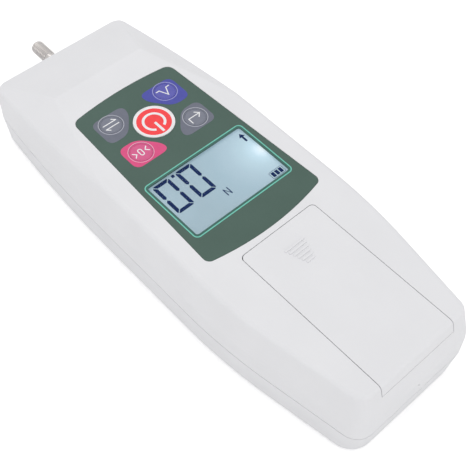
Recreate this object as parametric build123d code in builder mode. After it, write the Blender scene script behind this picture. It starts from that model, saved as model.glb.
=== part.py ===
from build123d import *
from math import asin, cos, radians, sin, tan
import os

os.makedirs("parts", exist_ok=True)

# The origin lies on the resting face, under the middle of the case.
# +Y runs along the measuring axis to the stud, +Z out of the display side.

# Case plan: its length adds up from the nose, the overlay and the battery door, its width from the keys
nose_length = 43.8
overlay_length = 87.7
overlay_door_gap = 2.4
bay_front_room = 5.15
bay_rear_room = 8.05
flat_front_setback = 82.2
flat_rear_setback = 77.2
front_side_radius = 689.0
rear_side_radius = 237.0
rear_taper = 9.7
front_corner_radius = 6.7
rear_corner_radius = 7.5
rear_bottom_corner_radius = 10.5

# Case section: its height adds up from the two layers of cells and the door above them
wall = 2.2
cell_headroom = 0.4
parting_gap = 0.35
shoulder_drop = 13.5
bottom_draft = 1.1
shoulder_draft = 0.26
top_draft = 3.13
rear_lean = 1.45
rim_radius = 2.2
ridge_radius = 3.0
shoulder_radius = 15.0
bottom_rim_radius = 1.4
crown_slope = 0.8
edge_band = 0.1
same_place = 0.001
merge_depth = 0.5

# Sloping nose and its side bevels
nose_drop = 9.0
crease_setback = 30.2
crease_side_margin = 16.5
bevel_tail_setback = 78.2
bevel_tail_side_margin = 3.5
bevel_nose_side_margin = 6.2

# Lip that locates the two shells
lip_thickness = 1.0
lip_height = 1.8
lip_clearance = 0.1

# Case screws and the pillars they join
case_screw_front_setback = 16.2
case_screw_front_side_margin = 11.0
case_screw_rear_setback = 12.2
case_screw_rear_side_margin = 13.4
pillar_radius = 3.1
case_screw_radius = 1.5
case_screw_head_radius = 2.8
case_screw_head_height = 2.0
case_screw_length = 16.0
case_screw_recess = 4.5
cross_length = 3.2
cross_width = 0.8
cross_depth = 1.2
screw_fit = 0.05
screw_passage = 0.25
screw_tip_room = 1.0

# Brass inserts for a test stand
insert_side_margin = 14.0
insert_spacing_y = 90.0
insert_front_setback = 47.2
insert_radius = 2.8
insert_bore_radius = 1.65
insert_length = 8.0
insert_boss_radius = 4.2
insert_boss_cap = 1.0
insert_fit = 0.02

# Keypad overlay
overlay_front_bow = 1.9
overlay_front_side_margin = 14.0
overlay_rear_bow = 3.3
overlay_rear_side_margin = 10.2
overlay_front_corner = 3.6
overlay_rear_corner = 2.7
overlay_thickness = 0.5
overlay_recess = 0.6
overlay_clearance = 0.15

# Keys
key_side_margin = 6.0
key_spacing = 0.8
front_key_setback = 12.1
power_key_setback = 21.7
rear_key_setback = 30.4
small_cap_radius = 4.5
power_cap_radius = 8.2
key_proud = 0.3
key_rim = 0.25
key_flange_margin = 0.8
key_flange_thickness = 0.5
key_clearance = 0.15
key_stem_radius = 1.6
key_seat_gap = 0.1
dome_height = 0.5
dome_thickness = 0.2
small_dome_radius = 3.0
power_dome_radius = 4.0

# Display
display_front_margin = 45.4
display_rear_margin = 14.5
display_side_margin = 5.1
display_corner = 1.0
window_flange = 2.4
window_flange_thickness = 0.5
window_clearance = 0.1
glass_margin = 1.3
glass_gap = 0.3
glass_thickness = 2.2
backlight_thickness = 3.1
display_frame_wall = 2.2
display_frame_gap = 0.2
display_pin_pitch = 2.54
display_pin_width = 0.5

# Main board
board_thickness = 1.6
board_side_margin = 9.0
board_front_margin = 1.4
board_rear_margin = 0.8
board_corner = 2.0
board_screw_inset_x = 3.0
board_screw_inset_y = 3.5
board_boss_radius = 2.6
board_screw_radius = 1.0
board_screw_head_radius = 2.0
board_screw_head_height = 1.3
board_screw_length = 5.0

# Battery door
door_side_room = 2.0
door_corner = 2.0
door_gap = 0.25
door_end_clearance = 0.4
rail_thickness = 0.95
rail_overlap = 1.2
rail_outer_margin = 1.6
door_rail_clearance = 0.3
door_leg_thickness = 1.0
door_leg_clearance = 0.4
door_foot_thickness = 0.9
door_foot_reach = 1.1
door_tongue_half = 12.0
door_tongue_reach = 1.7
ridge_count = 6
ridge_pitch = 1.6
ridge_width = 0.7
ridge_height = 0.3
ridge_inset = 8.9
ridge_first_half = 4.6
ridge_step = 0.55

# Battery bay
cell_radius = 7.1
cell_body_length = 49.3
cell_nub_radius = 2.7
cell_nub_length = 1.2
cell_gap_x = 0.4
cell_gap_z = 0.3
holder_wall = 1.3
holder_clearance = 0.3
contact_plate = 0.4
contact_width = 10.0
contact_spring_gap = 3.4
contact_spring_height = 5.0

# Sensing shaft
axis_drop = 19.6
shaft_radius = 3.0
stud_reach = 18.0
stud_thread_length = 10.0
stud_tip_chamfer = 0.8
neck_length = 1.5
neck_radius = 2.5
shaft_hole_radius = 3.7
collar_radius = 6.0
collar_length = 3.0
stop_gap = 0.35
nut_flats = 10.0
nut_length = 5.0
shaft_thread_fit = 0.05

# Load cell
cell_block_setback = 17.0
cell_block_length = 42.0
cell_block_width = 30.0
cell_block_height = 14.0
cell_hole_depth = 9.0
cell_slot_width = 2.0
cell_slot_offset = 9.0
cell_web = 6.0
cell_window_width = 15.0
cell_window_length = 11.0
cell_window_corner = 1.0
gauge_length = 4.0
gauge_height = 3.0
gauge_thickness = 0.2
gauge_offset = 2.3
cell_bolt_head = 4.0

# Chassis
chassis_setback = 13.2
chassis_thickness = 2.5
chassis_width = 32.0
chassis_lift = 3.0
chassis_headroom = 3.4
chassis_bend_radius = 1.0
chassis_screw_x = 11.0
chassis_screw_front_setback = 11.0
chassis_screw_rear_setback = 8.0
chassis_boss_radius = 3.2
chassis_screw_radius = 1.5
chassis_screw_head_radius = 2.7
chassis_screw_head_height = 1.8
chassis_screw_length = 5.0

# Small mark in the middle of the rear end
end_mark_radius = 0.5
end_mark_depth = 0.5
end_mark_drop = 16.5

# The battery bay, from which the length and the height of the case follow
cell_spacing_x = 2 * cell_radius + cell_gap_x
cell_spacing_z = 2 * cell_radius + cell_gap_z
cell_full_length = cell_body_length + cell_nub_length
cell_low = wall + holder_wall + holder_clearance + cell_radius
holder_inner_width = cell_spacing_x + 2 * (cell_radius + holder_clearance)
holder_inner_length = cell_full_length + 2 * contact_plate + contact_spring_gap
holder_width = holder_inner_width + 2 * holder_wall
holder_length = holder_inner_length + 2 * holder_wall
holder_top = cell_low + cell_spacing_z
holder_end_top = holder_top + contact_width / 2 + contact_plate
plate_height = cell_spacing_z + contact_width
door_foot_bottom = holder_top + cell_radius + cell_headroom
door_foot_top = door_foot_bottom + door_foot_thickness
rail_bottom = door_foot_top + door_rail_clearance
rail_top = rail_bottom + rail_thickness
ceiling = rail_top + door_gap
case_height = ceiling + wall
door_length = bay_front_room + holder_length + bay_rear_room
case_length = nose_length + overlay_length + overlay_door_gap + door_length

# The keys, from which the width of the case follows
key_column = power_cap_radius + key_spacing + small_cap_radius
overlay_front_half = key_column + small_cap_radius + key_side_margin
case_half = overlay_front_half + overlay_front_side_margin
case_width = 2 * case_half

# Places along the case
front_y = case_length / 2
flat_front = front_y - flat_front_setback
flat_rear = flat_rear_setback - front_y
rear_rim = front_y - top_draft - rear_lean
overlay_front_y = front_y - nose_length
overlay_rear_y = overlay_front_y - overlay_length
overlay_rear_half = case_half - overlay_rear_side_margin
display_width = 2 * (overlay_rear_half - display_side_margin)
display_length = overlay_length - display_front_margin - display_rear_margin
display_centre_y = overlay_rear_y + display_rear_margin + display_length / 2
board_width = case_width - 2 * board_side_margin
board_front_y = overlay_front_y - board_front_margin
board_rear_y = overlay_rear_y + board_rear_margin
board_middle_y = (board_front_y + board_rear_y) / 2
board_length = board_front_y - board_rear_y
board_screw_spacing_x = board_width - 2 * board_screw_inset_x
board_screw_spacing_y = board_length - 2 * board_screw_inset_y
door_front_y = overlay_rear_y - overlay_door_gap
door_half = holder_width / 2 + door_side_room
door_leg_outer = door_half - rail_overlap - door_leg_clearance
ridge_first_y = door_front_y - ridge_inset
holder_centre_y = door_front_y - bay_front_room - holder_length / 2
insert_spacing_x = case_width - 2 * insert_side_margin
insert_centre_y = front_y - insert_front_setback - insert_spacing_y / 2
case_screw_front = (case_half - case_screw_front_side_margin, front_y - case_screw_front_setback)
case_screw_rear = (case_half - case_screw_rear_side_margin, case_screw_rear_setback - front_y)
case_screw_places = [(side * x, y) for x, y in (case_screw_front, case_screw_rear) for side in (-1, 1)]
chassis_front_y = front_y - chassis_setback
cell_block_front_y = chassis_front_y - cell_block_setback
cell_block_rear_y = cell_block_front_y - cell_block_length
cell_block_middle_y = cell_block_front_y - cell_block_length / 2
chassis_rear_y = cell_block_rear_y - chassis_thickness
chassis_screw_front_y = chassis_front_y - chassis_screw_front_setback
chassis_screw_rear_y = cell_block_rear_y + chassis_screw_rear_setback
chassis_screw_middle_y = (chassis_screw_front_y + chassis_screw_rear_y) / 2
chassis_screw_spacing_y = chassis_screw_front_y - chassis_screw_rear_y
stud_tip_y = front_y + stud_reach
thread_start_y = stud_tip_y - stud_thread_length
neck_start_y = thread_start_y - neck_length
collar_y = chassis_front_y + stop_gap
stop_nut_y = chassis_front_y - chassis_thickness - stop_gap - nut_length
lock_nut_y = cell_block_front_y + shaft_thread_fit
shaft_root_y = cell_block_front_y - cell_hole_depth + screw_tip_room

# Heights
shoulder_height = case_height - shoulder_drop
axis_height = case_height - axis_drop
parting_height = axis_height - shaft_hole_radius
shell_split_top = parting_height + parting_gap
overlay_floor = case_height - overlay_recess
overlay_top = overlay_floor + overlay_thickness
glass_top = overlay_floor - window_flange_thickness - window_clearance
glass_bottom = glass_top - glass_thickness
board_top = glass_bottom - backlight_thickness
chassis_floor = wall + chassis_lift
chassis_plate_top = chassis_floor + chassis_thickness
chassis_top = board_top - board_thickness - chassis_headroom
door_end_height = door_foot_bottom - door_end_clearance
end_mark_height = case_height - end_mark_drop
flange_top = overlay_floor - key_seat_gap
flange_bottom = flange_top - key_flange_thickness
stem_bottom = board_top + dome_height + key_seat_gap

# Each key: where it stands, and the radius of its cap and of its dome
front_key_row = overlay_front_y - front_key_setback
power_key_row = overlay_front_y - power_key_setback
rear_key_row = overlay_front_y - rear_key_setback
key_places = {
    "power": (0, power_key_row, power_cap_radius, power_dome_radius),
    "unit": (-key_column, front_key_row, small_cap_radius, small_dome_radius),
    "peak": (key_column, front_key_row, small_cap_radius, small_dome_radius),
    "zero": (-key_column, rear_key_row, small_cap_radius, small_dome_radius),
    "set": (key_column, rear_key_row, small_cap_radius, small_dome_radius),
}
upwards = (Align.CENTER, Align.CENTER, Align.MIN)
downwards = (Align.CENTER, Align.CENTER, Align.MAX)


def plan_section(height, inset, lean=0, rear_corner=rear_corner_radius):
    """The plan of the case at a height, drawn in by the inset, and at the rear end also by the lean."""
    front = front_y - inset
    rear = inset + lean - front_y
    half = case_half - inset
    front_radius = front_side_radius - inset
    rear_radius = rear_side_radius - inset
    turn = radians(rear_taper)
    front_half = half - front_radius * (1 - cos(asin((front - flat_front) / front_radius)))
    taper_y = flat_rear - rear_radius * sin(turn)
    taper_half = half - rear_radius * (1 - cos(turn))
    rear_half = taper_half - (taper_y - rear) * tan(turn)
    with BuildSketch(Plane.XY.offset(height)) as section:
        with BuildLine():
            Line((rear_half, rear), (taper_half, taper_y))
            RadiusArc((taper_half, taper_y), (half, flat_rear), -rear_radius)
            Line((half, flat_rear), (half, flat_front))
            RadiusArc((half, flat_front), (front_half, front), -front_radius)
            mirror(about=Plane.YZ)
            Line((-front_half, front), (front_half, front))
            Line((-rear_half, rear), (rear_half, rear))
        make_face()
        fillet(section.vertices().group_by(Axis.Y)[-1], front_corner_radius - inset)
        fillet(section.vertices().group_by(Axis.Y)[0], rear_corner - inset)
    return section.sketch


def plane_through(first, second, third, step_in):
    """The plane through three points, facing up, moved inwards by the step."""
    first, second, third = Vector(*first), Vector(*second), Vector(*third)
    normal = (second - first).cross(third - first).normalized()
    if normal.Z < 0:
        normal = -normal
    return Plane(origin=first - normal * step_in, z_dir=normal)


def nose_planes(step_in):
    """The slope of the nose and the bevel on each side of it."""
    crease_y = front_y - crease_setback
    crease_half = case_half - crease_side_margin
    low = case_height - nose_drop
    middle = (0, crease_y, case_height)
    planes = [plane_through(middle, (crease_half, crease_y, case_height), (0, front_y, low), step_in)]
    for side in (-1, 1):
        planes.append(plane_through(
            (side * crease_half, crease_y, case_height),
            (side * (case_half - bevel_tail_side_margin), front_y - bevel_tail_setback, case_height),
            (side * (case_half - bevel_nose_side_margin), front_y, low),
            step_in,
        ))
    return planes


def case_form(step_in):
    """The closed form of the case, or of its cavity when stepped in by the wall."""
    sections = [
        plan_section(step_in, bottom_draft + step_in, rear_corner=rear_bottom_corner_radius).face(),
        plan_section(parting_height, step_in).face(),
        plan_section(shoulder_height, shoulder_draft + step_in).face(),
        plan_section(case_height - step_in, top_draft + step_in, rear_lean).face(),
    ]
    with BuildPart() as form:
        loft(sections, ruled=True)
        for plane in nose_planes(step_in):
            split(bisect_by=plane, keep=Keep.BOTTOM)
    return form


def edge_count(edge, faces):
    """How many of the faces hold this edge."""
    middle = edge.center()
    return sum((other.center() - middle).length < same_place for face in faces for other in face.edges())


def crown_faces(form):
    """The faces of the top, the nose slope and the bevels."""
    return form.faces().filter_by(lambda face: face.normal_at(face.center()).Z > crown_slope)


def edges_at(form, height):
    """The edges that lie level at a height."""
    return form.edges().filter_by_position(Axis.Z, height - edge_band, height + edge_band)


def overlay_outline(grow):
    """The outline of the keypad overlay: a bowed front and rear edge joined by straight sides."""
    front_corner_y = overlay_front_y - overlay_front_bow
    rear_corner_y = overlay_rear_y + overlay_rear_bow
    with BuildSketch() as outline:
        with BuildLine():
            ThreePointArc(
                (-overlay_front_half, front_corner_y),
                (0, overlay_front_y),
                (overlay_front_half, front_corner_y),
            )
            Line((overlay_front_half, front_corner_y), (overlay_rear_half, rear_corner_y))
            ThreePointArc(
                (overlay_rear_half, rear_corner_y),
                (0, overlay_rear_y),
                (-overlay_rear_half, rear_corner_y),
            )
            Line((-overlay_rear_half, rear_corner_y), (-overlay_front_half, front_corner_y))
        make_face()
        fillet(outline.vertices().group_by(Axis.Y)[-1], overlay_front_corner)
        fillet(outline.vertices().group_by(Axis.Y)[0], overlay_rear_corner)
        if grow:
            offset(amount=grow)
    return outline.sketch


def display_rectangle(grow):
    """The visible area of the display, grown all round."""
    with BuildSketch() as outline:
        with Locations((0, display_centre_y)):
            RectangleRounded(display_width + 2 * grow, display_length + 2 * grow, display_corner)
    return outline.sketch


def door_outline(inset):
    """The plan of the door opening: rounded in front, square where it runs out of the rear of the case."""
    front = door_front_y - inset
    half = door_half - inset
    with BuildSketch() as outline:
        with Locations((0, front)):
            Rectangle(2 * half, front + case_length, align=(Align.CENTER, Align.MAX))
        fillet(outline.vertices().group_by(Axis.Y)[-1], door_corner)
    return outline.sketch


def key_axis_plane(x, y):
    """An upright plane through a key's axis, with its second direction pointing up."""
    return Plane(origin=(x, y, 0), x_dir=(1, 0, 0), z_dir=(0, -1, 0))


def cap_sphere(radius, height):
    """The radius of the sphere whose cap has this rim radius and height."""
    return (radius ** 2 + height ** 2) / (2 * height)


def finish(piece, name):
    """Label the piece and write it out."""
    piece.part.label = name
    export_step(piece.part, f"parts/{name}.step")


# The closed outer form, with its ridges, rim and lower edge rounded, and the cavity inside it
with BuildPart() as outer_form:
    add(case_form(0))
    crown = crown_faces(outer_form)
    fillet([edge for edge in outer_form.edges() if edge_count(edge, crown) == 2], ridge_radius)
    crown = crown_faces(outer_form)
    fillet([edge for edge in outer_form.edges() if edge_count(edge, crown) == 1], rim_radius)
    fillet(edges_at(outer_form, shoulder_height), shoulder_radius)
    fillet(edges_at(outer_form, 0), bottom_rim_radius)
outer = outer_form.part
cavity = case_form(wall)

# Upper pillars for the case screws, trimmed to the inside of the roof
with BuildPart() as roof_pillars:
    with BuildSketch(Plane.XY.offset(shell_split_top)):
        with Locations(*case_screw_places):
            Circle(pillar_radius)
    extrude(amount=case_height)
    add(outer, mode=Mode.INTERSECT)

# Upper case
with BuildPart() as upper_case:
    add(outer)
    add(cavity, mode=Mode.SUBTRACT)
    split(bisect_by=Plane.XY.offset(shell_split_top), keep=Keep.TOP)
    add(roof_pillars)
    # Pillars that carry the main board
    with BuildSketch(Plane.XY.offset(board_top)):
        with Locations((0, board_middle_y)):
            with GridLocations(board_screw_spacing_x, board_screw_spacing_y, 2, 2):
                Circle(board_boss_radius)
    extrude(amount=ceiling - board_top + wall / 2)
    # Rebate for the lip of the lower case
    with BuildSketch(Plane.XY.offset(shell_split_top)):
        add(plan_section(0, wall - lip_thickness - lip_clearance))
        add(plan_section(0, wall + lip_thickness), mode=Mode.SUBTRACT)
    extrude(amount=lip_height - parting_gap + lip_clearance, mode=Mode.SUBTRACT)
    # Recess for the overlay
    with BuildSketch(Plane.XY.offset(overlay_floor)):
        add(overlay_outline(overlay_clearance))
    extrude(amount=case_height, mode=Mode.SUBTRACT)
    # Opening and seat for the display window
    with BuildSketch(Plane.XY.offset(ceiling - wall)):
        add(display_rectangle(glass_margin + glass_gap))
    extrude(amount=case_height, mode=Mode.SUBTRACT)
    with BuildSketch(Plane.XY.offset(overlay_floor - window_flange_thickness)):
        add(display_rectangle(window_flange + window_clearance))
    extrude(amount=case_height, mode=Mode.SUBTRACT)
    # Holes for the keys
    for x, y, cap_radius, dome_radius in key_places.values():
        with BuildSketch(Plane.XY.offset(ceiling - wall)):
            with Locations((x, y)):
                Circle(cap_radius + key_flange_margin + 2 * key_clearance)
        extrude(amount=case_height, mode=Mode.SUBTRACT)
    # Pilot holes for the board screws and the case screws
    pilot_depth = case_screw_recess + case_screw_length - shell_split_top + screw_tip_room
    with BuildSketch(Plane.XY.offset(board_top)):
        with Locations((0, board_middle_y)):
            with GridLocations(board_screw_spacing_x, board_screw_spacing_y, 2, 2):
                Circle(board_screw_radius + screw_fit)
    extrude(amount=board_screw_length - board_thickness + screw_tip_room, mode=Mode.SUBTRACT)
    with BuildSketch(Plane.XY.offset(shell_split_top)):
        with Locations(*case_screw_places):
            Circle(case_screw_radius + screw_fit)
    extrude(amount=pilot_depth, mode=Mode.SUBTRACT)
    # Opening for the battery door, with a rail under each long edge
    with BuildSketch(Plane.XY.offset(door_end_height)):
        add(door_outline(0))
    extrude(amount=case_height, mode=Mode.SUBTRACT)
    rail_length = door_front_y - holder_wall + rear_rim - wall
    for side in (-1, 1):
        outwards = (Align.MIN if side > 0 else Align.MAX, Align.MAX)
        with BuildSketch(Plane.XY.offset(rail_bottom)):
            with Locations((side * (door_half - rail_overlap), door_front_y - holder_wall)):
                Rectangle(rail_overlap + rail_outer_margin, rail_length, align=outwards)
        extrude(amount=rail_thickness)
        with BuildSketch(Plane.XY.offset(rail_top)):
            with Locations((side * door_half, door_front_y - holder_wall)):
                Rectangle(rail_outer_margin, rail_length, align=outwards)
        extrude(amount=door_gap + merge_depth)
    # Round hole for the shaft, open down to the parting line so that the upper case lifts off over it
    with BuildSketch(Plane.XZ.offset(-front_y - wall)):
        with Locations((0, axis_height)):
            Circle(shaft_hole_radius)
        with Locations((0, axis_height)):
            Rectangle(2 * shaft_hole_radius, axis_height, align=(Align.CENTER, Align.MAX))
    extrude(amount=3 * wall, mode=Mode.SUBTRACT)
    # Small round mark on the rear end
    with Locations(Plane(origin=(0, -front_y, end_mark_height), z_dir=(0, 1, 0))):
        Cylinder(end_mark_radius, 2 * end_mark_depth, mode=Mode.SUBTRACT)
finish(upper_case, "upper_case")

# Lower case
with BuildPart() as lower_case:
    add(outer)
    add(cavity, mode=Mode.SUBTRACT)
    split(bisect_by=Plane.XY.offset(parting_height), keep=Keep.BOTTOM)
    # Lip, cut away around the shaft
    with BuildSketch(Plane.XY.offset(parting_height)):
        add(plan_section(0, wall - lip_thickness))
        add(plan_section(0, wall), mode=Mode.SUBTRACT)
        with Locations((0, front_y)):
            Rectangle(2 * (shaft_hole_radius + lip_clearance), 4 * wall, mode=Mode.SUBTRACT)
    extrude(amount=lip_height)
    # Pillars for the case screws, bosses for the chassis screws and for the inserts
    with BuildSketch(Plane.XY.offset(wall / 2)):
        with Locations(*case_screw_places):
            Circle(pillar_radius)
    extrude(amount=parting_height - wall / 2)
    with BuildSketch(Plane.XY.offset(wall / 2)):
        with Locations((0, chassis_screw_middle_y)):
            with GridLocations(2 * chassis_screw_x, chassis_screw_spacing_y, 2, 2):
                Circle(chassis_boss_radius)
    extrude(amount=chassis_floor - wall / 2)
    with BuildSketch(Plane.XY.offset(wall / 2)):
        with Locations((0, insert_centre_y)):
            with GridLocations(insert_spacing_x, insert_spacing_y, 2, 2):
                Circle(insert_boss_radius)
    extrude(amount=insert_length + insert_boss_cap - wall / 2)
    # Ribs that locate the battery holder
    for side in (-1, 1):
        outwards = (Align.MIN if side > 0 else Align.MAX, Align.CENTER)
        with BuildSketch(Plane.XY.offset(wall / 2)):
            with Locations((side * (holder_width / 2 + holder_clearance), holder_centre_y)):
                Rectangle(holder_wall, holder_inner_length / 2, align=outwards)
        extrude(amount=cell_radius)
    # Holes for the inserts, the case screws and the chassis screws
    with BuildSketch():
        with Locations((0, insert_centre_y)):
            with GridLocations(insert_spacing_x, insert_spacing_y, 2, 2):
                Circle(insert_radius + insert_fit)
    extrude(amount=insert_length, mode=Mode.SUBTRACT)
    with BuildSketch():
        with Locations(*case_screw_places):
            Circle(case_screw_radius + screw_passage)
    extrude(amount=parting_height, mode=Mode.SUBTRACT)
    with BuildSketch():
        with Locations(*case_screw_places):
            Circle(case_screw_head_radius + screw_passage)
    extrude(amount=case_screw_recess, mode=Mode.SUBTRACT)
    with BuildSketch(Plane.XY.offset(chassis_plate_top - chassis_screw_length)):
        with Locations((0, chassis_screw_middle_y)):
            with GridLocations(2 * chassis_screw_x, chassis_screw_spacing_y, 2, 2):
                Circle(chassis_screw_radius + screw_fit)
    extrude(amount=chassis_screw_length, mode=Mode.SUBTRACT)
finish(lower_case, "lower_case")

# Battery door: the piece of shell that fills the opening, with legs that hook under the rails
with BuildPart() as battery_door:
    add(outer)
    add(cavity, mode=Mode.SUBTRACT)
    with BuildSketch(Plane.XY.offset(door_end_height + door_gap)):
        add(door_outline(door_gap))
    extrude(amount=case_height, mode=Mode.INTERSECT)
    leg_front_y = door_front_y - holder_wall - door_gap
    leg_length = leg_front_y + rear_rim - wall / 2
    for side in (-1, 1):
        inner_edge = Align.MAX if side > 0 else Align.MIN
        with BuildSketch(Plane.XY.offset(door_foot_bottom)):
            with Locations((side * door_leg_outer, leg_front_y)):
                Rectangle(door_leg_thickness, leg_length, align=(inner_edge, Align.MAX))
        extrude(amount=ceiling - door_foot_bottom + merge_depth)
        with BuildSketch(Plane.XY.offset(door_foot_bottom)):
            with Locations((side * (door_leg_outer + door_foot_reach), leg_front_y)):
                Rectangle(door_foot_reach + door_leg_thickness, leg_length, align=(inner_edge, Align.MAX))
        extrude(amount=door_foot_thickness)
    # Tongue under the front edge of the opening
    with BuildSketch(Plane.XY.offset(rail_bottom)):
        with Locations((0, door_front_y + door_tongue_reach)):
            Rectangle(2 * door_tongue_half, door_tongue_reach + 2 * wall, align=(Align.CENTER, Align.MAX))
    extrude(amount=rail_thickness)
    with BuildSketch(Plane.XY.offset(rail_bottom)):
        with Locations((0, door_front_y - 2 * door_gap)):
            Rectangle(2 * door_tongue_half, 2 * wall - 2 * door_gap, align=(Align.CENTER, Align.MAX))
    extrude(amount=ceiling - rail_bottom + merge_depth)
    # Finger ridges, each shorter than the one in front of it
    for row in range(ridge_count):
        with BuildSketch(Plane.XY.offset(case_height - merge_depth)):
            with Locations((0, ridge_first_y - row * ridge_pitch)):
                Rectangle(2 * (ridge_first_half - row * ridge_step), ridge_width)
        extrude(amount=merge_depth + ridge_height)
finish(battery_door, "battery_door")

# Keypad overlay
with BuildPart() as keypad_overlay:
    with BuildSketch(Plane.XY.offset(overlay_floor)):
        add(overlay_outline(0))
        add(display_rectangle(0), mode=Mode.SUBTRACT)
        for x, y, cap_radius, dome_radius in key_places.values():
            with Locations((x, y)):
                Circle(cap_radius + key_clearance, mode=Mode.SUBTRACT)
    extrude(amount=overlay_thickness)
finish(keypad_overlay, "keypad_overlay")

# Display window: a flange held under the overlay and a raised pane flush with its face
with BuildPart() as display_window:
    with BuildSketch(Plane.XY.offset(overlay_floor - window_flange_thickness)):
        add(display_rectangle(window_flange))
    extrude(amount=window_flange_thickness)
    with BuildSketch(Plane.XY.offset(overlay_floor)):
        add(display_rectangle(-window_clearance))
    extrude(amount=overlay_thickness)
finish(display_window, "display_window")

# Display glass and its backlight
with BuildPart() as lcd_glass:
    with BuildSketch(Plane.XY.offset(glass_bottom)):
        with Locations((0, display_centre_y)):
            Rectangle(display_width + 2 * glass_margin, display_length + 2 * glass_margin)
    extrude(amount=glass_thickness)
finish(lcd_glass, "lcd_glass")

with BuildPart() as lcd_backlight:
    with BuildSketch(Plane.XY.offset(board_top)):
        with Locations((0, display_centre_y)):
            Rectangle(display_width + 2 * glass_margin, display_length + glass_margin)
    extrude(amount=backlight_thickness)
finish(lcd_backlight, "lcd_backlight")

# Frame that holds the display to the board, just clear of the roof
with BuildPart() as display_frame:
    with BuildSketch(Plane.XY.offset(board_top)):
        with Locations((0, display_centre_y)):
            frame_margin = glass_margin + display_frame_gap
            RectangleRounded(
                display_width + 2 * (frame_margin + display_frame_wall),
                display_length + 2 * (frame_margin + display_frame_wall),
                display_frame_wall,
            )
            Rectangle(
                display_width + 2 * frame_margin, display_length + 2 * frame_margin, mode=Mode.SUBTRACT
            )
    extrude(amount=ceiling - glass_gap - board_top)
finish(display_frame, "display_frame")

# Display pins, in a row along the rear edge of the glass
pin_count = int((display_width - 2 * glass_margin) / display_pin_pitch) + 1
pin_row_y = display_centre_y - (display_length + glass_margin) / 2 - display_pin_width
with BuildPart() as display_pins:
    with BuildSketch(Plane.XY.offset(board_top)):
        with Locations((0, pin_row_y)):
            with GridLocations(display_pin_pitch, display_pin_pitch, pin_count, 1):
                Rectangle(display_pin_width, display_pin_width)
    extrude(amount=backlight_thickness)
finish(display_pins, "display_pins")

# Main board
with BuildPart() as main_board:
    with BuildSketch(Plane.XY.offset(board_top - board_thickness)):
        with Locations((0, board_middle_y)):
            RectangleRounded(board_width, board_length, board_corner)
            with GridLocations(board_screw_spacing_x, board_screw_spacing_y, 2, 2):
                Circle(board_screw_radius + screw_passage, mode=Mode.SUBTRACT)
    extrude(amount=board_thickness)
finish(main_board, "main_board")

# Components on the underside of the board: centre, as a share of the board's size from its middle,
# then width, length and height of each package
board_packages = {
    "processor": ((0, -0.12), (12.0, 12.0, 1.6)),
    "converter": ((-0.24, 0.35), (8.0, 6.0, 1.6)),
    "memory": ((0.26, -0.05), (5.0, 4.0, 1.4)),
    "regulator": ((-0.29, -0.26), (6.5, 6.0, 2.2)),
    "cell_socket": ((0.21, 0.35), (8.0, 5.0, 3.2)),
    "battery_socket": ((0.21, -0.42), (8.0, 5.0, 3.2)),
}
with BuildPart() as board_components:
    for (share_x, share_y), (width, length, height) in board_packages.values():
        with BuildSketch(Plane.XY.offset(board_top - board_thickness - height)):
            with Locations((share_x * board_width, board_middle_y + share_y * board_length)):
                Rectangle(width, length)
        extrude(amount=height)
finish(board_components, "board_components")

# Board screws, put in from below into the roof pillars
with BuildPart() as board_screws:
    with Locations((0, board_middle_y, board_top - board_thickness)):
        with GridLocations(board_screw_spacing_x, board_screw_spacing_y, 2, 2):
            Cylinder(board_screw_head_radius, board_screw_head_height, align=downwards)
            Cylinder(board_screw_radius, board_screw_length, align=upwards)
finish(board_screws, "board_screws")

# Keys: a round cap with a raised rim, a flange that the overlay holds down, and a stem over the dome
for name, (x, y, cap_radius, dome_radius) in key_places.items():
    cap_top = overlay_top + key_proud
    flange_radius = cap_radius + key_flange_margin
    with BuildPart() as key:
        with BuildSketch(key_axis_plane(x, y)):
            with BuildLine():
                Polyline(
                    (0, cap_top - key_rim), (0, stem_bottom), (key_stem_radius, stem_bottom),
                    (key_stem_radius, flange_bottom), (flange_radius, flange_bottom),
                    (flange_radius, flange_top), (cap_radius, flange_top),
                    (cap_radius, cap_top - key_rim),
                )
                ThreePointArc(
                    (cap_radius, cap_top - key_rim), (cap_radius - key_rim, cap_top),
                    (cap_radius - 2 * key_rim, cap_top - key_rim),
                )
                Line((cap_radius - 2 * key_rim, cap_top - key_rim), (0, cap_top - key_rim))
            make_face()
        revolve(axis=Axis((x, y, 0), (0, 0, 1)))
    finish(key, f"{name}_key")
    with BuildPart() as dome:
        with BuildSketch(key_axis_plane(x, y)):
            with BuildLine():
                RadiusArc(
                    (0, board_top + dome_height), (dome_radius, board_top),
                    cap_sphere(dome_radius, dome_height),
                )
                Line((dome_radius, board_top), (dome_radius - dome_thickness, board_top))
                RadiusArc(
                    (dome_radius - dome_thickness, board_top),
                    (0, board_top + dome_height - dome_thickness),
                    -cap_sphere(dome_radius - dome_thickness, dome_height - dome_thickness),
                )
                Line((0, board_top + dome_height - dome_thickness), (0, board_top + dome_height))
            make_face()
        revolve(axis=Axis((x, y, 0), (0, 0, 1)))
    finish(dome, f"{name}_dome")

# Case screws, let into the lower case from below, with a cross recess in each head
with BuildPart() as case_screws:
    for x, y in case_screw_places:
        with Locations((x, y, case_screw_recess)):
            Cylinder(case_screw_head_radius, case_screw_head_height, align=downwards)
            Cylinder(case_screw_radius, case_screw_length, align=upwards)
    with BuildSketch(Plane.XY.offset(case_screw_recess - case_screw_head_height)):
        with Locations(*case_screw_places):
            Rectangle(cross_length, cross_width)
            Rectangle(cross_width, cross_length)
    extrude(amount=cross_depth, mode=Mode.SUBTRACT)
finish(case_screws, "case_screws")

# Brass inserts, open at the resting face
with BuildPart() as mount_inserts:
    with BuildSketch():
        with Locations((0, insert_centre_y)):
            with GridLocations(insert_spacing_x, insert_spacing_y, 2, 2):
                Circle(insert_radius)
                Circle(insert_bore_radius, mode=Mode.SUBTRACT)
    extrude(amount=insert_length)
finish(mount_inserts, "mount_inserts")

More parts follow.
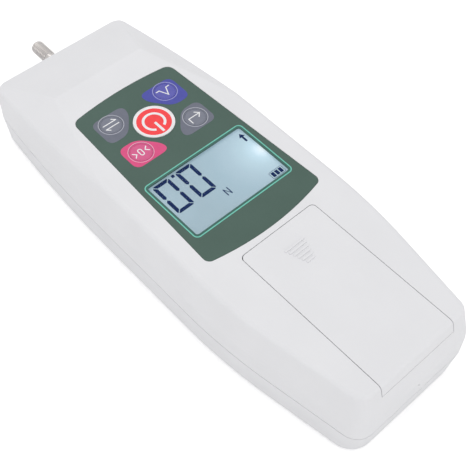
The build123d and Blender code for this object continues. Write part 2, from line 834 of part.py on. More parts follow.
# Chassis: a bent plate with an upright behind the load cell and one around the shaft
with BuildPart() as chassis:
    with BuildSketch(Plane.YZ) as side_view:
        with Locations(((chassis_rear_y + chassis_front_y) / 2, chassis_floor)):
            Rectangle(
                chassis_front_y - chassis_rear_y, chassis_top - chassis_floor,
                align=(Align.CENTER, Align.MIN),
            )
        fillet(side_view.vertices().group_by(Axis.Z)[0], chassis_bend_radius + chassis_thickness)
        with Locations(((chassis_rear_y + chassis_front_y) / 2, chassis_plate_top)):
            RectangleRounded(
                chassis_front_y - chassis_rear_y - 2 * chassis_thickness, 2 * chassis_top,
                chassis_bend_radius, align=(Align.CENTER, Align.MIN), mode=Mode.SUBTRACT,
            )
    extrude(amount=chassis_width / 2, both=True)
    with Locations((0, chassis_front_y - chassis_thickness / 2, axis_height)):
        Cylinder(
            shaft_radius + stop_gap + screw_fit, 2 * chassis_thickness,
            rotation=(90, 0, 0), mode=Mode.SUBTRACT,
        )
    with Locations((0, cell_block_rear_y - chassis_thickness / 2, axis_height)):
        Cylinder(shaft_radius + screw_fit, 2 * chassis_thickness, rotation=(90, 0, 0), mode=Mode.SUBTRACT)
    with BuildSketch(Plane.XY.offset(chassis_floor)):
        with Locations((0, chassis_screw_middle_y)):
            with GridLocations(2 * chassis_screw_x, chassis_screw_spacing_y, 2, 2):
                Circle(chassis_screw_radius + screw_passage)
    extrude(amount=chassis_thickness, mode=Mode.SUBTRACT)
finish(chassis, "chassis")

with BuildPart() as chassis_screws:
    with Locations((0, chassis_screw_middle_y, chassis_plate_top)):
        with GridLocations(2 * chassis_screw_x, chassis_screw_spacing_y, 2, 2):
            Cylinder(chassis_screw_head_radius, chassis_screw_head_height, align=upwards)
            Cylinder(chassis_screw_radius, chassis_screw_length, align=downwards)
finish(chassis_screws, "chassis_screws")

# Load cell: a block cut into an S by two slots, with a window between its flexing columns
with BuildPart() as load_cell:
    with BuildSketch(Plane.XY.offset(axis_height - cell_block_height / 2)):
        with Locations((0, cell_block_middle_y)):
            Rectangle(cell_block_width, cell_block_length)
            RectangleRounded(cell_window_width, cell_window_length, cell_window_corner, mode=Mode.SUBTRACT)
        for side in (-1, 1):
            with Locations((side * cell_block_width / 2, cell_block_middle_y + side * cell_slot_offset)):
                Rectangle(
                    cell_block_width - cell_web, cell_slot_width,
                    align=(Align.MAX if side > 0 else Align.MIN, Align.CENTER), mode=Mode.SUBTRACT,
                )
    extrude(amount=cell_block_height)
    for end_y in (cell_block_front_y, cell_block_rear_y):
        with Locations((0, end_y, axis_height)):
            Cylinder(
                shaft_radius + shaft_thread_fit, 2 * cell_hole_depth,
                rotation=(90, 0, 0), mode=Mode.SUBTRACT,
            )
finish(load_cell, "load_cell")

# Strain gauges, bonded to the sides of the window
with BuildPart() as strain_gauges:
    with Locations((0, cell_block_middle_y, axis_height)):
        with GridLocations(cell_window_width - gauge_thickness, 2 * gauge_offset, 2, 2):
            Box(gauge_thickness, gauge_length, gauge_height)
finish(strain_gauges, "strain_gauges")

# Bolt that holds the load cell to the chassis
with BuildPart() as load_cell_bolt:
    with BuildSketch(Plane.XZ.offset(-chassis_rear_y)):
        with Locations((0, axis_height)):
            RegularPolygon(nut_flats / 2, 6, major_radius=False)
    extrude(amount=cell_bolt_head)
    with BuildSketch(Plane.XZ.offset(-chassis_rear_y)):
        with Locations((0, axis_height)):
            Circle(shaft_radius)
    extrude(amount=-(chassis_thickness + cell_hole_depth - screw_tip_room))
finish(load_cell_bolt, "load_cell_bolt")

# Sensing shaft: screwed into the load cell, with a stop collar, and a threaded stud past a relief neck
with BuildPart() as sensing_shaft:
    with BuildSketch(Plane.YZ):
        with BuildLine():
            Polyline(
                (shaft_root_y, axis_height),
                (shaft_root_y, axis_height + shaft_radius),
                (collar_y, axis_height + shaft_radius),
                (collar_y, axis_height + collar_radius),
                (collar_y + collar_length, axis_height + collar_radius),
                (collar_y + collar_length, axis_height + shaft_radius),
                (neck_start_y, axis_height + shaft_radius),
                (neck_start_y, axis_height + neck_radius),
                (thread_start_y, axis_height + neck_radius),
                (thread_start_y, axis_height + shaft_radius),
                (stud_tip_y - stud_tip_chamfer, axis_height + shaft_radius),
                (stud_tip_y, axis_height + shaft_radius - stud_tip_chamfer),
                (stud_tip_y, axis_height),
                close=True,
            )
        make_face()
    revolve(axis=Axis((0, 0, axis_height), (0, 1, 0)))
finish(sensing_shaft, "sensing_shaft")

# Nuts on the shaft: one locks it against the load cell, one works as the inner stop
for name, nut_y in (("lock_nut", lock_nut_y), ("stop_nut", stop_nut_y)):
    with BuildPart() as nut:
        with BuildSketch(Plane.XZ.offset(-nut_y)):
            with Locations((0, axis_height)):
                RegularPolygon(nut_flats / 2, 6, major_radius=False)
                Circle(shaft_radius + insert_fit, mode=Mode.SUBTRACT)
        extrude(amount=-nut_length)
    finish(nut, name)

# Battery holder: an open box for two layers of two cells, lower along its sides so that the cells snap in
with BuildPart() as battery_holder:
    with BuildSketch(Plane.XY.offset(wall)):
        with Locations((0, holder_centre_y)):
            RectangleRounded(holder_width, holder_length, holder_wall)
    extrude(amount=holder_end_top - wall)
    with BuildSketch(Plane.XY.offset(wall + holder_wall)):
        with Locations((0, holder_centre_y)):
            Rectangle(holder_inner_width, holder_inner_length)
    extrude(amount=holder_end_top, mode=Mode.SUBTRACT)
    with BuildSketch(Plane.XY.offset(holder_top)):
        with Locations((0, holder_centre_y)):
            Rectangle(holder_inner_width + 4 * holder_wall, holder_inner_length)
    extrude(amount=holder_end_top, mode=Mode.SUBTRACT)
finish(battery_holder, "battery_holder")

# Battery cells, turned end for end from one to the next
cell_places = [
    (column, layer, 1 if (column + layer) % 2 else -1) for layer in (0, 1) for column in (0, 1)
]
half_bay = holder_inner_length / 2 - contact_plate
with BuildPart() as battery_cells:
    for column, layer, way in cell_places:
        x = (column - 0.5) * cell_spacing_x
        nub_end = Plane(
            origin=(x, holder_centre_y + way * half_bay, cell_low + layer * cell_spacing_z),
            x_dir=(1, 0, 0), z_dir=(0, -way, 0),
        )
        with BuildSketch(nub_end):
            Circle(cell_nub_radius)
        extrude(amount=cell_nub_length)
        with BuildSketch(nub_end.offset(cell_nub_length)):
            Circle(cell_radius)
        extrude(amount=cell_body_length)
finish(battery_cells, "battery_cells")

# Leaf springs, bowed from the contact plate to the flat end of each cell
with BuildPart() as battery_springs:
    for column, layer, way in cell_places:
        x = (column - 0.5) * cell_spacing_x
        root_y = holder_centre_y - way * half_bay
        crest_y = root_y + way * contact_spring_gap
        half = contact_width / 2
        inner_half = half - contact_plate
        with BuildSketch(Plane.XY.offset(cell_low + layer * cell_spacing_z)):
            with BuildLine():
                ThreePointArc((x - half, root_y), (x, crest_y), (x + half, root_y))
                Line((x + half, root_y), (x + inner_half, root_y))
                ThreePointArc(
                    (x + inner_half, root_y), (x, crest_y - way * contact_plate), (x - inner_half, root_y)
                )
                Line((x - inner_half, root_y), (x - half, root_y))
            make_face()
        extrude(amount=contact_spring_height / 2, both=True)
finish(battery_springs, "battery_springs")

# Contact plates against the two end walls of the holder
with BuildPart() as battery_plates:
    for way in (-1, 1):
        for column in (0, 1):
            with Locations((
                (column - 0.5) * cell_spacing_x,
                holder_centre_y + way * (half_bay + contact_plate / 2),
                cell_low + cell_spacing_z / 2,
            )):
                Box(contact_width, contact_plate, plate_height)
finish(battery_plates, "battery_plates")
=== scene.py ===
from math import atan2, ceil, cos, degrees, hypot, pi, radians, sin

import bmesh
import bpy
from mathutils import Matrix, Vector


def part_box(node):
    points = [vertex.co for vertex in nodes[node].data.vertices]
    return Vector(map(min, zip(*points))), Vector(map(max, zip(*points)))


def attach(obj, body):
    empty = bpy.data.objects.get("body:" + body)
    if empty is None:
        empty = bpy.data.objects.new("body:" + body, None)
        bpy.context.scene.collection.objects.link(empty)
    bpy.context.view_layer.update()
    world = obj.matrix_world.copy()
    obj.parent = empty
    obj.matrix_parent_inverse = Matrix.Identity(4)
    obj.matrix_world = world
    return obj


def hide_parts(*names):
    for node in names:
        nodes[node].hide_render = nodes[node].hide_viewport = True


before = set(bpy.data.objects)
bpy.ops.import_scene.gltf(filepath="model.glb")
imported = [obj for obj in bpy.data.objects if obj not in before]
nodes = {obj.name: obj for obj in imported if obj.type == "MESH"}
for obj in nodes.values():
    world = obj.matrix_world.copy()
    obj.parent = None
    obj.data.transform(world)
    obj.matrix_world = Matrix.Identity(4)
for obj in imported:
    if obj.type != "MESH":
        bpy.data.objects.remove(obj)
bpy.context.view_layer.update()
mm = 0.001

# Places read from the frame
overlay_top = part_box("keypad_overlay")[1].z
glass_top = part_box("lcd_glass")[1].z
window_low, window_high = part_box("display_window")
power_low, power_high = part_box("power_key")
power_middle = (power_low + power_high) / 2
stud_low, stud_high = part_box("sensing_shaft")
shaft_axis_z = (stud_low.z + stud_high.z) / 2
shaft_collar_radius = (stud_high.z - stud_low.z) / 2

# Print layers, in millimetres
print_thickness = 0.02
print_lift = 0.005
margin_lift = 0.002
symbol_lift = 0.03
crossing_step = 0.002

# Solids that the prints lie on, in millimetres
key_rim = 0.25
key_flange_margin = 0.8
window_flange = 2.4

# Line and margin round the window, in millimetres
border_margin = 1.1
border_width = 0.45
border_corner = 1.9
pane_corner = 1.0

# Segments and marks of the display, in millimetres
digit_width = 7.7
digit_height = 15.5
digit_stroke = 1.5
segment_gap = 0.22
segment_corner_cut = 0.6
first_digit_x = -17.2
second_digit_x = -6.4
digit_y = 4.85
dot_place = (-11.5, 11.9)
dot_size = 1.3
dot_corner = 0.2
unit_place = (-0.95, -6.75)
unit_height = 3.4
unit_width = 2.2
unit_stroke = 0.42
unit_slant_stroke = 0.75 * unit_stroke
unit_corner = 0.05
arrow_place = (21.0, 8.7)
arrow_length = 4.6
arrow_head = 1.9
arrow_half_width = 1.35
arrow_stem = 0.9
charge_place = (19.0, -12.3)
charge_bar = (1.4, 2.3)
charge_bar_corner = 0.1
charge_pitch = 1.8
charge_frame = (6.2, 3.2)
charge_frame_corner = 0.4
charge_line = 0.16

# Light of the display, with places and reaches in millimetres; the body's share is what the glass
# shows of its colour without the light
display_lamp = (22.6, -0.2)
display_lamp_reach = 45
display_far_lamp = (-25.0, 2.0)
display_far_lamp_reach = 14
display_far_glow = 1.1
display_glow = 0.92
display_body_share = 0.36

# Colours of the display by their share of the lamp's reach
lamp_falloff = (
    (0.0, (0.7, 0.79, 0.83)), (0.05, (0.56, 0.7, 0.79)), (0.1, (0.43, 0.59, 0.68)),
    (0.17, (0.375, 0.515, 0.59)), (0.3, (0.32, 0.44, 0.515)), (0.45, (0.275, 0.39, 0.46)),
    (0.75, (0.26, 0.36, 0.42)),
)

# Patches printed round the small keys, in millimetres; a span is the near, cut and far edge along Y
patch_inner_x = 4.5
patch_outer_x = 19.8
patch_cut_x = 11.4
patch_rounding = 3.4
patch_front = (38.1, 46.6, 51.3)
patch_rear = (34.3, 26.4, 22.3)
patch_gap = 0.2

# Print on the power key, in millimetres and degrees
power_red_radius = 6.9
power_symbol_radius = 4.25
power_symbol_stroke = 1.05
power_symbol_gap = 27
power_bar_start = 0.5
power_bar_end = 6.2

# Line symbols of the small keys, in millimetres from the cap's centre
symbol_stroke = 0.42
nought_size = (1.9, 3.6)
nought_corner = 0.95
nought_inner_corner = 0.5
symbol_lines = {
    "unit": [
        [(-3.0, 1.0), (3.0, 1.0)], [(1.7, 2.2), (3.0, 1.0)],
        [(-3.0, -1.0), (3.0, -1.0)], [(-3.0, -1.0), (-1.7, -2.2)],
    ],
    "peak": [[(-3.2, -1.6), (-1.7, -1.6), (0, 2.2), (1.7, -1.6), (3.2, -1.6)]],
    "zero": [[(-3.2, 1.2), (-2.0, 0), (-3.2, -1.2)], [(3.2, 1.2), (2.0, 0), (3.2, -1.2)]],
    "set": [[(2.7, 1.9), (2.7, -0.7), (-2.8, -0.7)], [(-1.3, 0.8), (-2.8, -0.7), (-1.3, -2.2)]],
}

# Raised rings round the caps and collars on them, in millimetres; the height of a ring's shoulder and
# half the width of its flat crown are shares
bead_inner_radius = 4.7
bead_outer_radius = 5.1
bead_height = 0.14
cap_collar_radius = 4.62
cap_collar_depth = 0.25
bead_shoulder_share = 0.6
bead_crown_share = 0.2

# Colours of the small keys' patches, caps and rings; the rings' pale colour is a painted highlight, the
# light that their embossed edges catch
small_key_colours = {
    "grey": ((0.135, 0.147, 0.195), (0.175, 0.187, 0.24), (0.4, 0.41, 0.48)),
    "blue": ((0.046, 0.054, 0.37), (0.085, 0.085, 0.42), (0.3, 0.3, 0.66)),
    "pink": ((0.72, 0.055, 0.21), (0.68, 0.085, 0.25), (0.88, 0.34, 0.5)),
}
small_keys = {"unit": "grey", "peak": "blue", "zero": "pink", "set": "grey"}

# Threads, in millimetres, with the half width of a groove as a share of the pitch
thread_flank = 0.42
stud_radius = 3.0
thread_pitch = 1.0
thread_depth = 0.6
thread_length = 10.0
thread_chamfer = 0.8
neck_length = 1.5
neck_radius = 2.5
insert_pitch = 0.7
insert_bore = 1.65
insert_thread_depth = 0.33
insert_mouth = 0.35
knurl_depth = 0.14

# Jackets of the cells, in millimetres
cell_radius = 7.1
cell_nub_length = 1.2
jacket_margin = 0.9
jacket_thickness = 0.04
jacket_band = 11.0

# How finely round forms are divided, as sides of a whole turn and steps along one thread turn
ring_sides = 72
shaft_sides = 64
shaft_steps = 8
insert_sides = 40
insert_steps = 4
cell_sides = 48

# Scales of noise that make machining marks run across one axis
across_x = (6, 1, 1)
across_y = (1, 6, 1)
across_z = (1, 1, 6)
fine_across_y = (0.2, 8, 0.2)

# The floor, with its size in metres and how much it glows where the camera sees it
floor_half_width = 6
floor_depth = 0.0002
floor_albedo = 0.9
floor_glow = 0.3

# Soft lamps: place and size in metres, power in watts
soft_lamps = {
    "top_soft": ((0.15, 0.4, 0.85), 0.7, 1.3),
    "rear_soft": ((0.15, -0.9, 0.4), 0.7, 1.3),
    "side_soft": ((-0.85, 0.0, 0.4), 0.3, 0.8),
}

# Strength of the surroundings as light, from the horizon down and from overhead
world_low = 0.78
world_high = 0.82

# The camera, with its place in millimetres and its picture in pixels
camera_place = (-137.8, -152.3, 293.6)
camera_forward = (0.39994, 0.41156, -0.81894)
camera_right = (0.73791, -0.67456, 0.02137)
focal_pixels = 886.6
picture_pixels = 470


def node_material(name, colour, roughness, metallic=0.0, **sockets):
    """A material with its constant values on the shader's own sockets."""
    material = bpy.data.materials.new(name)
    material.use_nodes = True
    shader = material.node_tree.nodes["Principled BSDF"]
    shader.inputs["Base Color"].default_value = (*colour, 1)
    shader.inputs["Roughness"].default_value = roughness
    shader.inputs["Metallic"].default_value = metallic
    for socket, value in sockets.items():
        shader.inputs[socket.replace("_", " ")].default_value = value
    return material, shader


def coordinates(material):
    """The object's own coordinates, which run in the shared frame for every piece."""
    return material.node_tree.nodes.new("ShaderNodeTexCoord").outputs["Object"]


def noise(material, scale, detail=2.0, stretch=None):
    """Noise in the shared frame, with its scale in cycles per metre."""
    tree = material.node_tree
    node = tree.nodes.new("ShaderNodeTexNoise")
    node.inputs["Scale"].default_value = scale
    node.inputs["Detail"].default_value = detail
    source = coordinates(material)
    if stretch:
        mapping = tree.nodes.new("ShaderNodeMapping")
        mapping.inputs["Scale"].default_value = stretch
        tree.links.new(source, mapping.inputs["Vector"])
        source = mapping.outputs["Vector"]
    tree.links.new(source, node.inputs["Vector"])
    return node.outputs["Fac"]


def vary_colour(material, shader, factor, first, second, low=0.35, high=0.65):
    """Blends two colours over the surface by a factor, between a low and a high value of it."""
    tree = material.node_tree
    ramp = tree.nodes.new("ShaderNodeValToRGB")
    for stop, place, colour in zip(ramp.color_ramp.elements, (low, high), (first, second)):
        stop.position = place
        stop.color = (*colour, 1)
    tree.links.new(factor, ramp.inputs["Fac"])
    tree.links.new(ramp.outputs["Color"], shader.inputs["Base Color"])


def vary_roughness(material, shader, factor, low, high):
    """Moves the roughness between two values by a factor."""
    tree = material.node_tree
    spread = tree.nodes.new("ShaderNodeMapRange")
    spread.inputs["To Min"].default_value = low
    spread.inputs["To Max"].default_value = high
    tree.links.new(factor, spread.inputs["Value"])
    tree.links.new(spread.outputs["Result"], shader.inputs["Roughness"])


def bump(material, shader, factor, depth, strength=1.0):
    """Raises the surface by a factor, with the depth in metres."""
    tree = material.node_tree
    node = tree.nodes.new("ShaderNodeBump")
    node.inputs["Strength"].default_value = strength
    node.inputs["Distance"].default_value = depth
    tree.links.new(factor, node.inputs["Height"])
    tree.links.new(node.outputs["Normal"], shader.inputs["Normal"])


def darkened(colour, share):
    """A colour scaled by a share."""
    return tuple(share * part for part in colour)


def moulded_plastic(name, light, dark, roughness, grain_scale, grain_depth):
    """Moulded plastic with a fine spark-eroded grain and slightly uneven colour."""
    material, shader = node_material(name, light, roughness, IOR=1.5)
    vary_colour(material, shader, noise(material, scale=60, detail=3), dark, light)
    sheen = noise(material, scale=900, detail=2)
    vary_roughness(material, shader, sheen, low=roughness - 0.05, high=roughness + 0.06)
    bump(material, shader, noise(material, grain_scale, detail=2), depth=grain_depth)
    return material


def printed_ink(name, colour, roughness=0.42):
    """Ink on the keypad film, with a faint uneven layer."""
    material, shader = node_material(name, colour, roughness, IOR=1.5)
    vary_colour(material, shader, noise(material, scale=500, detail=3), darkened(colour, 0.93), colour)
    bump(material, shader, noise(material, scale=6000, detail=1), depth=0.000004)
    return material


def turned_metal(name, light, dark, roughness, stretch):
    """Metal with fine machining marks along one direction."""
    material, shader = node_material(name, light, roughness, metallic=1.0)
    marks = noise(material, scale=1500, detail=3, stretch=stretch)
    vary_colour(material, shader, marks, dark, light)
    vary_roughness(material, shader, marks, low=roughness - 0.06, high=roughness + 0.1)
    bump(material, shader, marks, depth=0.00001, strength=0.6)
    return material


def window_material():
    """A clear pane: it lets the display show, with a thin gloss of its own."""
    material, shader = node_material("window_pane", (0.12, 0.16, 0.17), 0.04, IOR=1.49, Alpha=0.02)
    bump(material, shader, noise(material, scale=40, detail=1), depth=0.00001)
    return material


def segment_material():
    """The dark blue of the segments, with hardly any gloss."""
    material, shader = node_material("segment_ink", (0.008, 0.025, 0.105), 0.5, Specular_IOR_Level=0.05)
    dark, light = (0.007, 0.022, 0.097), (0.009, 0.028, 0.113)
    vary_colour(material, shader, noise(material, scale=500, detail=3), dark, light)
    return material


def jacket_material(name, colour):
    """The printed film round a cell."""
    material, shader = node_material(name, colour, 0.3, metallic=0.4)
    vary_colour(material, shader, noise(material, scale=300, detail=2), darkened(colour, 0.85), colour)
    bump(material, shader, noise(material, scale=4000, detail=1), depth=0.000003)
    return material


def distance_share(material, place, reach):
    """How far a point lies from a place, given in millimetres, as a share of a reach."""
    tree = material.node_tree
    distance = tree.nodes.new("ShaderNodeVectorMath")
    distance.operation = "DISTANCE"
    distance.inputs[1].default_value = (place[0] * mm, place[1] * mm, glass_top)
    tree.links.new(coordinates(material), distance.inputs[0])
    share = tree.nodes.new("ShaderNodeMapRange")
    share.inputs["From Max"].default_value = reach * mm
    tree.links.new(distance.outputs["Value"], share.inputs["Value"])
    return share


def display_material():
    """The lit display: blue-grey, brighter round the lamp at its right edge and a little at its left."""
    material, shader = node_material("lcd_glass", (0.3, 0.4, 0.46), 0.25)
    tree = material.node_tree
    ramp = tree.nodes.new("ShaderNodeValToRGB")
    stops = ramp.color_ramp.elements
    first, *between, last = lamp_falloff
    for stop, (place, colour) in zip(stops, (first, last)):
        stop.position = place
        stop.color = (*colour, 1)
    for place, colour in between:
        stops.new(place).color = (*colour, 1)
    lamp_share = distance_share(material, display_lamp, display_lamp_reach)
    tree.links.new(lamp_share.outputs["Result"], ramp.inputs["Fac"])
    body = tree.nodes.new("ShaderNodeVectorMath")
    body.operation = "SCALE"
    body.inputs["Scale"].default_value = display_body_share
    tree.links.new(ramp.outputs["Color"], body.inputs[0])
    tree.links.new(body.outputs["Vector"], shader.inputs["Base Color"])
    tree.links.new(ramp.outputs["Color"], shader.inputs["Emission Color"])
    glow = distance_share(material, display_far_lamp, display_far_lamp_reach)
    glow.inputs["To Min"].default_value = display_far_glow
    glow.inputs["To Max"].default_value = display_glow
    tree.links.new(glow.outputs["Result"], shader.inputs["Emission Strength"])
    return material


# Plastics
case_plastic = moulded_plastic(
    "case_plastic", light=(0.775, 0.775, 0.795), dark=(0.76, 0.76, 0.78),
    roughness=0.46, grain_scale=5200, grain_depth=0.000012,
)
overlay_film = moulded_plastic(
    "overlay_film", light=(0.052, 0.106, 0.083), dark=(0.047, 0.098, 0.076),
    roughness=0.5, grain_scale=7000, grain_depth=0.000006,
)
frame_plastic = moulded_plastic(
    "frame_plastic", light=(0.025, 0.025, 0.027), dark=(0.02, 0.02, 0.021),
    roughness=0.5, grain_scale=4000, grain_depth=0.00001,
)
board_mask = moulded_plastic(
    "board_mask", light=(0.02, 0.16, 0.06), dark=(0.015, 0.12, 0.045),
    roughness=0.4, grain_scale=3000, grain_depth=0.000006,
)
chip_plastic = moulded_plastic(
    "chip_plastic", light=(0.02, 0.02, 0.022), dark=(0.015, 0.015, 0.016),
    roughness=0.55, grain_scale=5000, grain_depth=0.00001,
)
diffuser = moulded_plastic(
    "backlight", light=(0.8, 0.84, 0.86), dark=(0.76, 0.8, 0.82),
    roughness=0.4, grain_scale=2000, grain_depth=0.000006,
)

# Metals
shaft_steel = turned_metal(
    "shaft_steel", light=(0.76, 0.73, 0.71), dark=(0.62, 0.59, 0.57), roughness=0.2, stretch=fine_across_y,
)
steel = turned_metal(
    "steel", light=(0.6, 0.59, 0.58), dark=(0.5, 0.49, 0.48), roughness=0.35, stretch=across_z,
)
alloy = turned_metal(
    "alloy", light=(0.78, 0.79, 0.8), dark=(0.7, 0.71, 0.72), roughness=0.4, stretch=across_x,
)
brass = turned_metal(
    "insert_brass", light=(0.78, 0.56, 0.26), dark=(0.66, 0.45, 0.18), roughness=0.32, stretch=across_z,
)
contact_metal = turned_metal(
    "contact_metal", light=(0.75, 0.74, 0.72), dark=(0.66, 0.65, 0.63), roughness=0.25, stretch=across_x,
)
foil = turned_metal(
    "gauge_foil", light=(0.72, 0.5, 0.2), dark=(0.6, 0.4, 0.15), roughness=0.4, stretch=across_y,
)

# Inks and films
mint_ink = printed_ink("mint_ink", (0.15, 0.58, 0.46))
margin_ink = printed_ink("margin_ink", (0.022, 0.115, 0.09))
red_ink = printed_ink("red_ink", (0.95, 0.034, 0.042))
white_ink = printed_ink("white_ink", (0.86, 0.86, 0.87))
key_inks = {
    hue: (
        printed_ink(f"{hue}_ink", patch),
        printed_ink(f"{hue}_cap", cap, roughness=0.32),
        # The ring ink is paler than the patch as a painted highlight on the embossed edge
        printed_ink(f"{hue}_bead", ring, roughness=0.25),
    )
    for hue, (patch, cap, ring) in small_key_colours.items()
}
segment_ink = segment_material()
jacket_blue = jacket_material("jacket_blue", (0.05, 0.11, 0.3))
jacket_grey = jacket_material("jacket_grey", (0.5, 0.52, 0.55))
window_pane = window_material()
lcd_face = display_material()

# What each node of the part is made of
node_looks = {
    "upper_case": case_plastic, "lower_case": case_plastic, "battery_door": case_plastic,
    "keypad_overlay": overlay_film, "display_window": window_pane, "lcd_glass": lcd_face,
    "lcd_backlight": diffuser, "display_frame": frame_plastic, "display_pins": contact_metal,
    "main_board": board_mask, "board_components": chip_plastic, "board_screws": steel,
    "case_screws": steel, "mount_inserts": brass, "chassis": steel, "chassis_screws": steel,
    "load_cell": alloy, "strain_gauges": foil, "load_cell_bolt": steel, "sensing_shaft": shaft_steel,
    "lock_nut": steel, "stop_nut": steel, "battery_holder": frame_plastic, "battery_cells": steel,
    "battery_springs": contact_metal, "battery_plates": contact_metal,
    "power_key": white_ink, "power_dome": contact_metal,
}
for name, hue in small_keys.items():
    node_looks[f"{name}_key"] = key_inks[hue][1]
    node_looks[f"{name}_dome"] = contact_metal


def add_object(name, data):
    """A new object in the scene that holds the data."""
    added = bpy.data.objects.new(name, data)
    bpy.context.scene.collection.objects.link(added)
    return added


def new_piece(name, mesh, material, body):
    """Puts a finished mesh into the scene as a piece that rides on a body."""
    piece = add_object(name, mesh)
    mesh.materials.append(material)
    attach(piece, body)
    return piece


def finished_mesh(name, solid):
    """The mesh of a built solid, with its faces turned outwards."""
    bmesh.ops.recalc_face_normals(solid, faces=solid.faces)
    mesh = bpy.data.meshes.new(name)
    solid.to_mesh(mesh)
    solid.free()
    return mesh


def flat_piece(name, shapes, floor, material, body, lift=print_lift):
    """A thin printed piece from outlines and strips, above a floor height in metres.

    Each shape ends a hair above the last, so no two faces share a plane where shapes cross.
    """
    solid = bmesh.new()
    low = floor + lift * mm
    for i, shape in enumerate(shapes):
        high = low + (print_thickness + i * crossing_step) * mm
        if isinstance(shape, tuple):
            strip(solid, *shape, low, high)
        else:
            prism(solid, shape, low, high)
    return new_piece(name, finished_mesh(name, solid), material, body)


def smooth_piece(name, solid, material, body, sharp_angle=40):
    """A smooth piece from a built solid, which keeps its edges sharper than an angle in degrees."""
    mesh = finished_mesh(name, solid)
    for face in mesh.polygons:
        face.use_smooth = True
    piece = new_piece(name, mesh, material, body)
    edges = piece.modifiers.new("edges", "EDGE_SPLIT")
    edges.split_angle = radians(sharp_angle)
    return piece


def prism(solid, outline, low, high):
    """Adds a flat outline, given in millimetres, as a plate between two heights in metres."""
    floor, top = [[solid.verts.new((x * mm, y * mm, z)) for x, y in outline] for z in (low, high)]
    solid.faces.new(floor[::-1])
    solid.faces.new(top)
    for i in range(len(outline)):
        solid.faces.new((floor[i - 1], floor[i], top[i], top[i - 1]))


def strip(solid, inner, outer, low, high):
    """Adds the strip between two outlines with equal numbers of points."""
    low_in, low_out, high_in, high_out = [
        [solid.verts.new((x * mm, y * mm, z)) for x, y in loop]
        for z in (low, high) for loop in (inner, outer)
    ]
    for i in range(len(inner)):
        solid.faces.new((high_in[i - 1], high_out[i - 1], high_out[i], high_in[i]))
        solid.faces.new((low_in[i - 1], low_in[i], low_out[i], low_out[i - 1]))
        solid.faces.new((low_out[i - 1], low_out[i], high_out[i], high_out[i - 1]))
        solid.faces.new((low_in[i - 1], high_in[i - 1], high_in[i], low_in[i]))


def lathe(solid, rows, place, sides, closed=False):
    """Adds a ring of points for each row and joins the rings; a radius may change round the ring."""
    rings = []
    for along, radius in rows:
        if radius == 0:
            rings.append([solid.verts.new(place(along, 0, 0))])
            continue
        points = []
        for k in range(sides):
            reach = radius(k) if callable(radius) else radius
            angle = 2 * pi * k / sides
            points.append(solid.verts.new(place(along, reach * cos(angle), reach * sin(angle))))
        rings.append(points)
    if closed:
        rings.append(rings[0])
    for first, second in zip(rings, rings[1:]):
        for k in range(sides):
            n = (k + 1) % sides
            if len(first) == 1:
                solid.faces.new((first[0], second[k], second[n]))
            elif len(second) == 1:
                solid.faces.new((first[k], second[0], first[n]))
            else:
                solid.faces.new((first[k], second[k], second[n], first[n]))


def arc(centre, radius, start, end, steps):
    """Points on an arc, with its angles in degrees."""
    angles = [radians(start + (end - start) * i / steps) for i in range(steps + 1)]
    return [(centre[0] + radius * cos(angle), centre[1] + radius * sin(angle)) for angle in angles]


def circle(centre, radius):
    """A closed circle."""
    return arc(centre, radius, 0, 360 - 360 / ring_sides, ring_sides - 1)


def rounded_rectangle(low, high, corner, steps=8):
    """A rectangle between two corners, with rounded corners."""
    places = [
        ((high[0] - corner, high[1] - corner), 0),
        ((low[0] + corner, high[1] - corner), 90),
        ((low[0] + corner, low[1] + corner), 180),
        ((high[0] - corner, low[1] + corner), 270),
    ]
    return [point for centre, start in places for point in arc(centre, corner, start, start + 90, steps)]


def rounded_polygon(corners, rounding, steps=8):
    """A closed polygon whose corners are bent over a length to each side."""
    outline = []
    for i, corner in enumerate(corners):
        here = Vector(corner)
        before = Vector(corners[i - 1]) - here
        after = Vector(corners[(i + 1) % len(corners)]) - here
        start = here + before.normalized() * min(rounding, before.length / 2)
        end = here + after.normalized() * min(rounding, after.length / 2)
        for k in range(steps + 1):
            share = k / steps
            point = start * (1 - share) ** 2 + here * 2 * share * (1 - share) + end * share ** 2
            outline.append((point.x, point.y))
    return outline


def dense_outline(outline, step=0.4):
    """The same outline with points at most a step apart."""
    dense = []
    for i, (x, y) in enumerate(outline):
        next_x, next_y = outline[(i + 1) % len(outline)]
        run, rise = next_x - x, next_y - y
        parts = max(1, ceil(hypot(run, rise) / step))
        dense += [(x + run * k / parts, y + rise * k / parts) for k in range(parts)]
    return dense


def stroke(points, width, round_ends=True, steps=6, sharpest_turn=0.35):
    """The outline of a line of some width through points, with its corners mitred up to a limit."""
    half = width / 2
    left, right = [], []
    for i, (x, y) in enumerate(points):
        before = points[max(i - 1, 0)]
        after = points[min(i + 1, len(points) - 1)]
        first = Vector((x - before[0], y - before[1]))
        second = Vector((after[0] - x, after[1] - y))
        first = first.normalized() if first.length else second.normalized()
        second = second.normalized() if second.length else first
        middle = (first + second).normalized()
        reach = half / max(middle.dot(first), sharpest_turn)
        left.append((x - middle.y * reach, y + middle.x * reach))
        right.append((x + middle.y * reach, y - middle.x * reach))
    if not round_ends:
        return left + right[::-1]
    caps = []
    for (x, y), (from_x, from_y) in ((points[-1], points[-2]), (points[0], points[1])):
        facing = degrees(atan2(y - from_y, x - from_x))
        caps.append(arc((x, y), half, facing + 90, facing - 90, steps)[1:-1])
    return left + caps[0] + right[::-1] + caps[1]


def outline_strip(low, high, corner, width):
    """The strip along a rounded rectangle, with its width half inside and half outside."""
    return tuple(
        rounded_rectangle((low[0] - grow, low[1] - grow), (high[0] + grow, high[1] + grow), corner + grow)
        for grow in (-width / 2, width / 2)
    )


def box_round(centre, size):
    """The two corners of a rectangle from its centre and size."""
    (x, y), (width, height) = centre, size
    return (x - width / 2, y - height / 2), (x + width / 2, y + height / 2)


